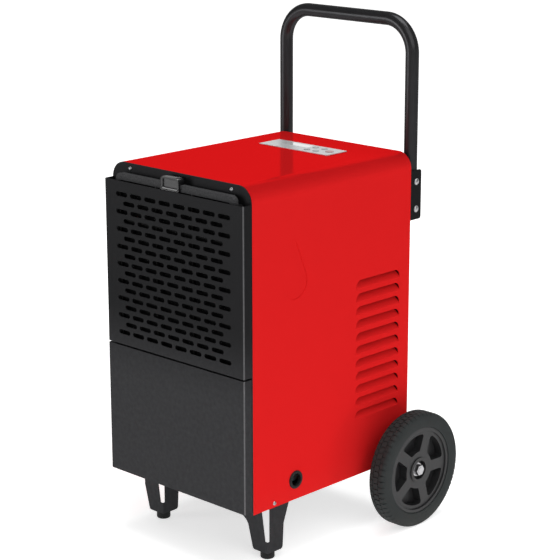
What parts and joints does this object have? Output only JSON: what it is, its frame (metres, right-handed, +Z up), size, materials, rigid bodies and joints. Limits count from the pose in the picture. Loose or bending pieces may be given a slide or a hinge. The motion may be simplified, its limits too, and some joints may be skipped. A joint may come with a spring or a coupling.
{
  "type": "dehumidifier",
  "caption": "Wheeled sheet-metal dehumidifier with a slotted front grille over a lift-out filter, a pull-out water tank, side louvres, a push handle and two legs.",
  "frame": {"origin": "on the floor below the middle of the machine's bounding box", "axes": "+X to the right as seen from the front, the side with the drain port; -Y to the front (grille and tank); +Z up"},
  "size_m": [0.486, 0.51, 0.95],
  "materials": {
    "shell_red": "gloss powder coat",
    "panel_black": "fine textured powder coat",
    "handle_black": "gloss powder coat",
    "galvanised": "satin zinc",
    "zinc_fastener": "bright zinc",
    "black_steel": "semi-gloss paint",
    "rubber_black": "matt",
    "tyre_rubber": "matt",
    "wheel_plastic": "moulded",
    "filter_plastic": "moulded",
    "filter_fabric": "woven nylon",
    "tab_plastic": "gloss moulded",
    "tank_plastic": "translucent natural",
    "white_plastic": "moulded",
    "foam_float": "moulded",
    "copper": "bare copper",
    "aluminium_fin": "mill",
    "compressor_black": "gloss paint",
    "motor_metal": "cast",
    "board_green": "solder resist",
    "panel_grey": "silver-grey facia",
    "window_glass": "clear window",
    "key_plastic": "satin moulded",
    "key_accent": "satin moulded"
  },
  "bodies": {
    "root": {"outer_shell": "shell_red", "front_frame": "panel_black", "inlet_grille": "panel_black", "filter_guide": "black_steel", "base_pan": "panel_black", "tank_bay": "galvanised", "tank_rails": "white_plastic", "rear_panel": "panel_black", "cable_gland": "tab_plastic", "drain_grommet": "rubber_black", "float_switch": "tab_plastic", "evaporator_fins": "aluminium_fin", "condenser_fins": "aluminium_fin", "coil_tubes": "copper", "coil_end_plates": "galvanised", "drip_tray": "galvanised", "compressor": "compressor_black", "compressor_mounts": "rubber_black", "accumulator": "compressor_black", "filter_drier": "copper", "refrigerant_pipes": "copper", "capillary_tube": "copper", "fan_shroud": "galvanised", "fan_motor": "motor_metal", "motor_bracket": "galvanised", "run_capacitor": "white_plastic", "control_box": "tab_plastic", "control_board": "board_green", "control_panel": "panel_grey", "display_window": "window_glass", "humidity_sensor": "white_plastic", "handle_tube": "handle_black", "handle_brackets": "panel_black", "handle_bolts": "zinc_fastener", "panel_screws": "zinc_fastener", "axle": "zinc_fastener", "axle_brackets": "panel_black", "axle_spacers": "black_steel", "axle_nuts": "zinc_fastener", "front_leg_left": "panel_black", "front_leg_right": "panel_black", "rubber_feet": "rubber_black", "base_bolts": "zinc_fastener"},
    "filter": {"filter_frame": "filter_plastic", "filter_mesh": "filter_fabric", "pull_tab": "tab_plastic"},
    "tank": {"water_tank": "tank_plastic", "tank_front": "panel_black"},
    "float": {"float_arm": "foam_float"},
    "fan": {"fan_blade": "filter_plastic", "fan_shaft": "zinc_fastener"},
    "wheel_left": {"wheel_rim_left": "wheel_plastic", "tyre_left": "tyre_rubber"},
    "wheel_right": {"wheel_rim_right": "wheel_plastic", "tyre_right": "tyre_rubber"},
    "key_up": {"key_up": "key_plastic"},
    "key_down": {"key_down": "key_plastic"},
    "key_mode": {"key_mode": "key_plastic"},
    "key_timer": {"key_timer": "key_plastic"},
    "key_power": {"key_power": "key_accent"}
  },
  "joints": [
    {"name": "wheel_left_spin", "type": "hinge", "parent": "root", "child": "wheel_left", "pos_m": [-0.225, 0.145, 0.11], "axis": [1, 0, 0], "continuous": true},
    {"name": "wheel_right_spin", "type": "hinge", "parent": "root", "child": "wheel_right", "pos_m": [0.225, 0.145, 0.11], "axis": [1, 0, 0], "continuous": true},
    {"name": "fan_spin", "type": "hinge", "parent": "root", "child": "fan", "pos_m": [0, -0.043, 0.52], "axis": [0, 1, 0], "continuous": true},
    {"name": "tank_slide", "type": "slide", "parent": "root", "child": "tank", "axis": [0, -1, 0], "range_m": [0, 0.25]},
    {"name": "filter_slide", "type": "slide", "parent": "root", "child": "filter", "axis": [0, 0, 1], "range_m": [0, 0.32]},
    {"name": "float_swing", "type": "hinge", "parent": "tank", "child": "float", "pos_m": [0, -0.055, 0.3], "axis": [-1, 0, 0], "range_deg": [0, 15]},
    {"name": "key_up_press", "type": "slide", "parent": "root", "child": "key_up", "axis": [0, 0, -1], "range_m": [0, 0.0012], "stiffness_N_per_m": 400, "springref_m": -0.0005},
    {"name": "key_down_press", "type": "slide", "parent": "root", "child": "key_down", "axis": [0, 0, -1], "range_m": [0, 0.0012], "stiffness_N_per_m": 400, "springref_m": -0.0005},
    {"name": "key_mode_press", "type": "slide", "parent": "root", "child": "key_mode", "axis": [0, 0, -1], "range_m": [0, 0.0012], "stiffness_N_per_m": 400, "springref_m": -0.0005},
    {"name": "key_timer_press", "type": "slide", "parent": "root", "child": "key_timer", "axis": [0, 0, -1], "range_m": [0, 0.0012], "stiffness_N_per_m": 400, "springref_m": -0.0005},
    {"name": "key_power_press", "type": "slide", "parent": "root", "child": "key_power", "axis": [0, 0, -1], "range_m": [0, 0.0012], "stiffness_N_per_m": 400, "springref_m": -0.0005}
  ]
}
